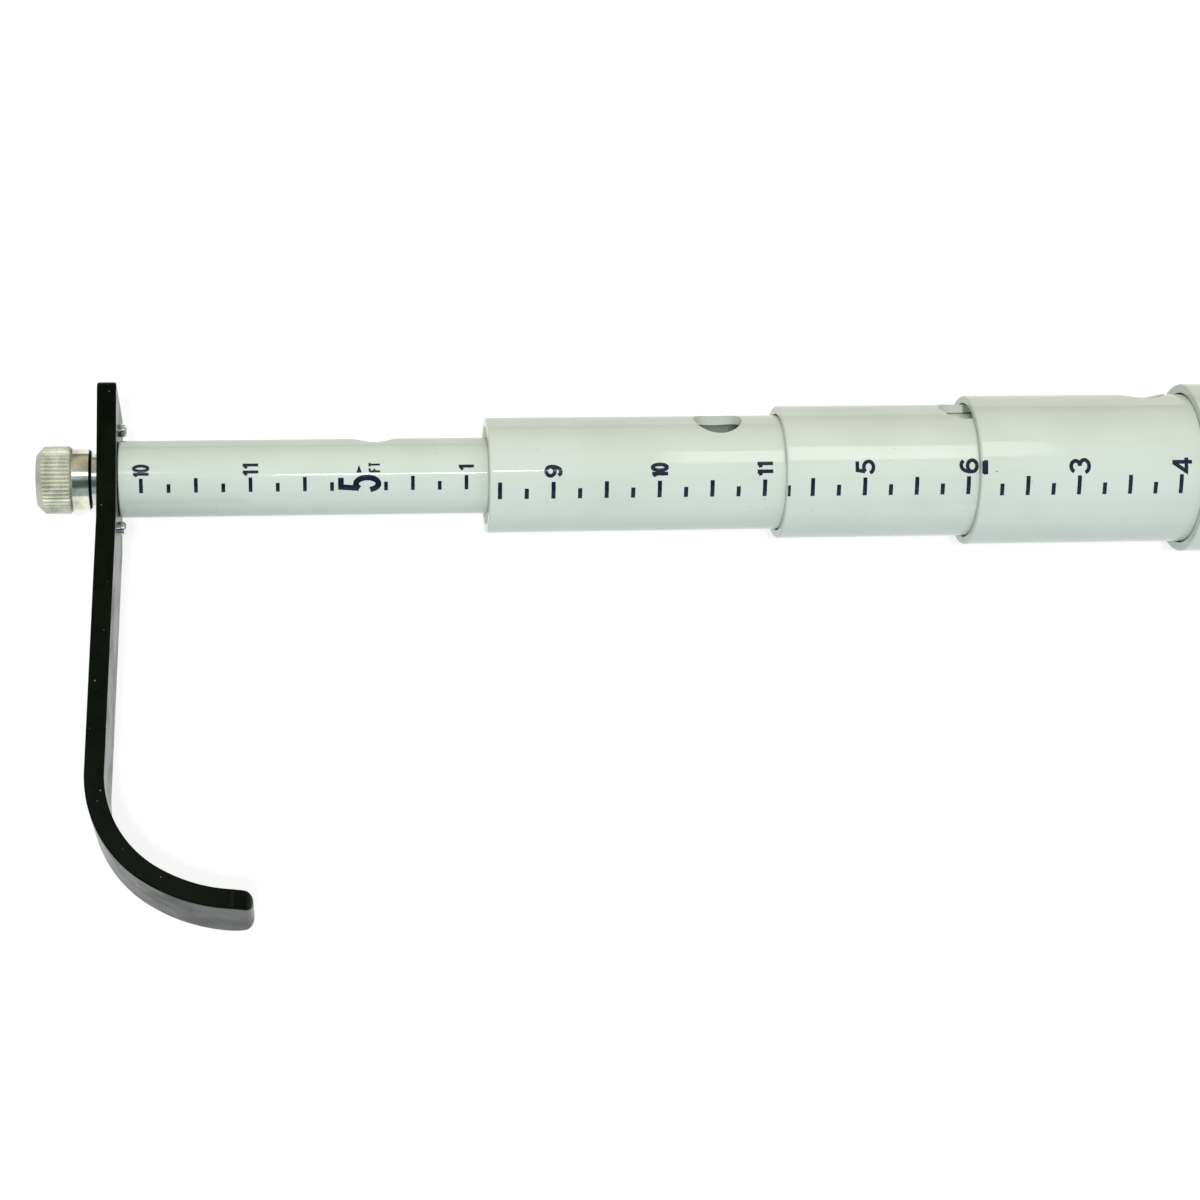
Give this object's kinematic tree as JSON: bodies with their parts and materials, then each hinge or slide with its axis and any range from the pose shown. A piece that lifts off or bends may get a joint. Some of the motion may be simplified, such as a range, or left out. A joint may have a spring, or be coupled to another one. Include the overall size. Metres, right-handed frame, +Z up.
{
  "type": "telescopic measuring rod",
  "caption": "Telescopic measuring rod of nested round fibreglass tubes with printed scales, spring-button locks and a swivelling black J hook held by a knurled thumb screw.",
  "frame": {"origin": "centre of the foot's flat end face, on the rod's axis", "axes": "rod along X with the foot at the origin facing +X and the tubes running towards -X; +Z up; the hook reaches out towards -Y and rests on the floor with the base tube"},
  "size_m": [1.5736, 0.1285, 0.0414],
  "materials": {
    "fibreglass": "glossy light grey-green fibreglass with printed scales",
    "black_nylon": "dark moulded nylon",
    "steel_pin": "plain steel",
    "acetal": "off-white acetal",
    "brass_insert": "machined brass",
    "black_enamel": "glossy black enamel on steel",
    "nickel": "warm nickel plate"
  },
  "bodies": {
    "base": {"base_tube": "fibreglass", "foot_plug": "black_nylon", "foot_pin": "steel_pin"},
    "second_glide": {"second_glide_ring": "acetal"},
    "second_section": {"second_tube": "fibreglass", "second_plug": "black_nylon", "second_plug_pin": "steel_pin", "second_button_spring": "steel_pin"},
    "second_button": {"second_button": "acetal"},
    "third_glide": {"third_glide_ring": "acetal"},
    "third_section": {"third_tube": "fibreglass", "third_plug": "black_nylon", "third_plug_pin": "steel_pin", "third_button_spring": "steel_pin"},
    "third_button": {"third_button": "acetal"},
    "fourth_glide": {"fourth_glide_ring": "acetal"},
    "fourth_section": {"fourth_tube": "fibreglass", "fourth_plug": "black_nylon", "fourth_plug_pin": "steel_pin", "fourth_button_spring": "steel_pin", "mouth_bush": "acetal"},
    "fourth_button": {"fourth_button": "acetal"},
    "tip_glide": {"tip_glide_ring": "acetal"},
    "tip_section": {"tip_tube": "fibreglass", "tip_plug": "black_nylon", "tip_plug_pin": "steel_pin", "tip_button_spring": "steel_pin", "threaded_insert": "brass_insert"},
    "tip_button": {"tip_button": "acetal"},
    "hook": {"hook": "black_enamel", "locating_pins": "steel_pin"},
    "lock_washer": {"lock_washer": "nickel"},
    "thumb_screw": {"thumb_screw": "nickel"}
  },
  "joints": [
    {"name": "second_slide", "type": "slide", "parent": "base", "child": "second_glide", "axis": [-1, 0, 0], "range_m": [0, 1.1797]},
    {"name": "second_twist", "type": "hinge", "parent": "second_glide", "child": "second_section", "pos_m": [-0.055, 0, 0], "axis": [-1, 0, 0], "continuous": true},
    {"name": "second_button_press", "type": "slide", "parent": "second_section", "child": "second_button", "axis": [0, -0.766, -0.6428], "range_m": [0, 0.0025], "stiffness_N_per_m": 1000, "springref_m": -0.003, "deforming": ["second_button_spring"]},
    {"name": "third_slide", "type": "slide", "parent": "second_section", "child": "third_glide", "axis": [-1, 0, 0], "range_m": [0, 1.1708]},
    {"name": "third_twist", "type": "hinge", "parent": "third_glide", "child": "third_section", "pos_m": [-0.119, 0, 0], "axis": [-1, 0, 0], "continuous": true},
    {"name": "third_button_press", "type": "slide", "parent": "third_section", "child": "third_button", "axis": [0, -0.8988, -0.4384], "range_m": [0, 0.0025], "stiffness_N_per_m": 1000, "springref_m": -0.003, "deforming": ["third_button_spring"]},
    {"name": "fourth_slide", "type": "slide", "parent": "third_section", "child": "fourth_glide", "axis": [-1, 0, 0], "range_m": [0, 1.1534]},
    {"name": "fourth_twist", "type": "hinge", "parent": "fourth_glide", "child": "fourth_section", "pos_m": [-0.183, 0, 0], "axis": [-1, 0, 0], "continuous": true},
    {"name": "fourth_button_press", "type": "slide", "parent": "fourth_section", "child": "fourth_button", "axis": [0, -0.7193, -0.6947], "range_m": [0, 0.0025], "stiffness_N_per_m": 1000, "springref_m": -0.003, "deforming": ["fourth_button_spring"]},
    {"name": "tip_slide", "type": "slide", "parent": "fourth_section", "child": "tip_glide", "axis": [-1, 0, 0], "range_m": [0, 1.1499]},
    {"name": "tip_twist", "type": "hinge", "parent": "tip_glide", "child": "tip_section", "pos_m": [-0.247, 0, 0], "axis": [-1, 0, 0], "continuous": true},
    {"name": "tip_button_press", "type": "slide", "parent": "tip_section", "child": "tip_button", "axis": [0, -0.682, -0.7314], "range_m": [0, 0.0025], "stiffness_N_per_m": 1000, "springref_m": -0.003, "deforming": ["tip_button_spring"]},
    {"name": "hook_swivel", "type": "hinge", "parent": "tip_section", "child": "hook", "pos_m": [-1.5546, 0, 0], "axis": [-1, 0, 0], "continuous": true},
    {"name": "washer_slide", "type": "slide", "parent": "tip_section", "child": "lock_washer", "axis": [-1, 0, 0], "range_m": [0, 0.00508]},
    {"name": "screw_turn", "type": "hinge", "parent": "lock_washer", "child": "thumb_screw", "pos_m": [-1.5646, 0, 0], "axis": [-1, 0, 0], "range_deg": [0, 1440]}
  ],
  "couplings": [
    {"joint": "screw_turn", "follows": "washer_slide", "rad_per_m": 4947.4}
  ]
}
